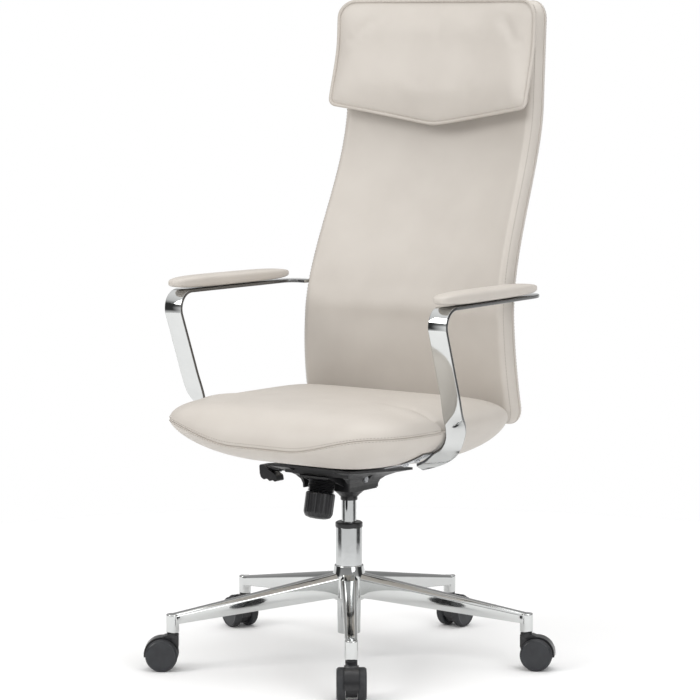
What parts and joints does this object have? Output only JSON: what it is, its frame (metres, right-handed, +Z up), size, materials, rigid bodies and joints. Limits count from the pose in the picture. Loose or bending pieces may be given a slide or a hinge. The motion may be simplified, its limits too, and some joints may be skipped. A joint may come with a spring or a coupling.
{
  "type": "executive office chair",
  "caption": "High-back swivel office chair with a leather seat and back, chrome flat-bar arms, gas lift, rocking mechanism and a chrome star base on twin-wheel casters.",
  "frame": {"origin": "on the floor under the middle of the chair's bounding box; the lift's column stands 28 mm in front of it", "axes": "+Z up; the chair faces -Y; +X is the sitter's left"},
  "size_m": [0.7681, 0.7302, 1.236],
  "materials": {
    "leather": "smooth, satin, warm greige",
    "chrome_base": "polished",
    "chrome_tube": "polished",
    "chrome_arm": "polished",
    "wheel_plastic": "fine satin",
    "black_plastic": "satin",
    "black_steel": "powder coat",
    "plain_steel": "zinc plated"
  },
  "bodies": {
    "base": {"base_star": "chrome_base", "lift_outer_tube": "chrome_tube", "lift_guide_bush": "black_plastic", "lift_thrust_bearing": "plain_steel"},
    "caster_1": {"caster_hood_1": "black_plastic", "caster_stem_1": "plain_steel", "caster_axle_1": "plain_steel"},
    "wheel_left_1": {"caster_wheel_left_1": "wheel_plastic"},
    "wheel_right_1": {"caster_wheel_right_1": "wheel_plastic"},
    "caster_2": {"caster_hood_2": "black_plastic", "caster_stem_2": "plain_steel", "caster_axle_2": "plain_steel"},
    "wheel_left_2": {"caster_wheel_left_2": "wheel_plastic"},
    "wheel_right_2": {"caster_wheel_right_2": "wheel_plastic"},
    "caster_3": {"caster_hood_3": "black_plastic", "caster_stem_3": "plain_steel", "caster_axle_3": "plain_steel"},
    "wheel_left_3": {"caster_wheel_left_3": "wheel_plastic"},
    "wheel_right_3": {"caster_wheel_right_3": "wheel_plastic"},
    "caster_4": {"caster_hood_4": "black_plastic", "caster_stem_4": "plain_steel", "caster_axle_4": "plain_steel"},
    "wheel_left_4": {"caster_wheel_left_4": "wheel_plastic"},
    "wheel_right_4": {"caster_wheel_right_4": "wheel_plastic"},
    "caster_5": {"caster_hood_5": "black_plastic", "caster_stem_5": "plain_steel", "caster_axle_5": "plain_steel"},
    "wheel_left_5": {"caster_wheel_left_5": "wheel_plastic"},
    "wheel_right_5": {"caster_wheel_right_5": "wheel_plastic"},
    "lift_piston": {"lift_piston_rod": "plain_steel", "lift_retaining_clip": "plain_steel"},
    "mechanism": {"lift_pressure_tube": "chrome_tube", "lift_collar": "black_plastic", "mechanism_housing": "black_steel", "tilt_axle": "plain_steel", "spring_boot": "black_plastic", "tension_spring": "plain_steel"},
    "valve": {"lift_valve_pin": "plain_steel"},
    "lever": {"lever_yoke": "black_steel"},
    "lever_handle": {"lever_rod": "black_steel", "lever_paddle": "black_plastic"},
    "seat_assembly": {"seat_plate": "black_steel", "tension_bolt": "plain_steel", "seat_cushion": "leather", "seat_shell": "leather", "back_cushion": "leather", "back_shell": "leather", "head_pillow": "leather", "arm_frame_left": "chrome_arm", "arm_pad_left": "leather", "arm_bracket_left": "plain_steel", "arm_screw_outer_left": "plain_steel", "arm_screw_inner_left": "plain_steel", "arm_frame_right": "chrome_arm", "arm_pad_right": "leather", "arm_bracket_right": "plain_steel", "arm_screw_outer_right": "plain_steel", "arm_screw_inner_right": "plain_steel"},
    "knob": {"tension_knob": "black_plastic"}
  },
  "joints": [
    {"name": "caster_swivel_1", "type": "hinge", "parent": "base", "child": "caster_1", "pos_m": [0.20618, -0.30461, 0.085], "axis": [0, 0, 1], "continuous": true},
    {"name": "wheel_left_spin_1", "type": "hinge", "parent": "caster_1", "child": "wheel_left_1", "pos_m": [0.21813, -0.32065, 0.03], "axis": [0.8018, 0.5976, 0], "continuous": true},
    {"name": "wheel_right_spin_1", "type": "hinge", "parent": "caster_1", "child": "wheel_right_1", "pos_m": [0.21813, -0.32065, 0.03], "axis": [0.8018, 0.5976, 0], "continuous": true},
    {"name": "caster_swivel_2", "type": "hinge", "parent": "base", "child": "caster_2", "pos_m": [0.32679, 0.08261, 0.085], "axis": [0, 0, 1], "continuous": true},
    {"name": "wheel_left_spin_2", "type": "hinge", "parent": "caster_2", "child": "wheel_left_2", "pos_m": [0.34465, 0.0916, 0.03], "axis": [-0.4493, 0.8934, 0], "continuous": true},
    {"name": "wheel_right_spin_2", "type": "hinge", "parent": "caster_2", "child": "wheel_right_2", "pos_m": [0.34465, 0.0916, 0.03], "axis": [-0.4493, 0.8934, 0], "continuous": true},
    {"name": "caster_swivel_3", "type": "hinge", "parent": "base", "child": "caster_3", "pos_m": [-0.00421, 0.31697, 0.085], "axis": [0, 0, 1], "continuous": true},
    {"name": "wheel_left_spin_3", "type": "hinge", "parent": "caster_3", "child": "wheel_left_3", "pos_m": [-0.00376, 0.33697, 0.03], "axis": [-0.9997, 0.0227, 0], "continuous": true},
    {"name": "wheel_right_spin_3", "type": "hinge", "parent": "caster_3", "child": "wheel_right_3", "pos_m": [-0.00376, 0.33697, 0.03], "axis": [-0.9997, 0.0227, 0], "continuous": true},
    {"name": "caster_swivel_4", "type": "hinge", "parent": "base", "child": "caster_4", "pos_m": [-0.32939, 0.07459, 0.085], "axis": [0, 0, 1], "continuous": true},
    {"name": "wheel_left_spin_4", "type": "hinge", "parent": "caster_4", "child": "wheel_left_4", "pos_m": [-0.34815, 0.08153, 0.03], "axis": [-0.3469, -0.9379, 0], "continuous": true},
    {"name": "wheel_right_spin_4", "type": "hinge", "parent": "caster_4", "child": "wheel_right_4", "pos_m": [-0.34815, 0.08153, 0.03], "axis": [-0.3469, -0.9379, 0], "continuous": true},
    {"name": "caster_swivel_5", "type": "hinge", "parent": "base", "child": "caster_5", "pos_m": [-0.19936, -0.30957, 0.085], "axis": [0, 0, 1], "continuous": true},
    {"name": "wheel_left_spin_5", "type": "hinge", "parent": "caster_5", "child": "wheel_left_5", "pos_m": [-0.2156, -0.32124, 0.03], "axis": [0.5835, -0.8121, 0], "continuous": true},
    {"name": "wheel_right_spin_5", "type": "hinge", "parent": "caster_5", "child": "wheel_right_5", "pos_m": [-0.2156, -0.32124, 0.03], "axis": [0.5835, -0.8121, 0], "continuous": true},
    {"name": "seat_swivel", "type": "hinge", "parent": "base", "child": "lift_piston", "pos_m": [0, -0.028, 0.055], "axis": [0, 0, 1], "continuous": true},
    {"name": "lift_height", "type": "slide", "parent": "lift_piston", "child": "mechanism", "axis": [0, 0, 1], "range_m": [-0.035, 0.065]},
    {"name": "valve_travel", "type": "slide", "parent": "mechanism", "child": "valve", "axis": [0, 0, 1], "range_m": [-0.0052, 0.0005]},
    {"name": "lever_lift", "type": "hinge", "parent": "mechanism", "child": "lever", "pos_m": [-0.05, -0.028, 0.346], "axis": [0, 1, 0], "range_deg": [0, 5], "stiffness_Nm_per_rad": 6, "springref_deg": -2.86},
    {"name": "lever_slide", "type": "slide", "parent": "lever", "child": "lever_handle", "axis": [-1, 0, 0], "range_m": [0, 0.012]},
    {"name": "tilt", "type": "hinge", "parent": "mechanism", "child": "seat_assembly", "pos_m": [0, -0.058, 0.349], "axis": [-1, 0, 0], "range_deg": [0, 12], "stiffness_Nm_per_rad": 150, "springref_deg": -17.19, "deforming": ["spring_boot", "tension_spring"]},
    {"name": "knob_turn", "type": "hinge", "parent": "seat_assembly", "child": "knob", "pos_m": [0, -0.112, 0.349], "axis": [0, 0.2199, 0.9755], "range_deg": [-720, 720]}
  ],
  "couplings": [
    {"joint": "valve_travel", "follows": "lever_lift", "m_per_rad": -0.056}
  ]
}
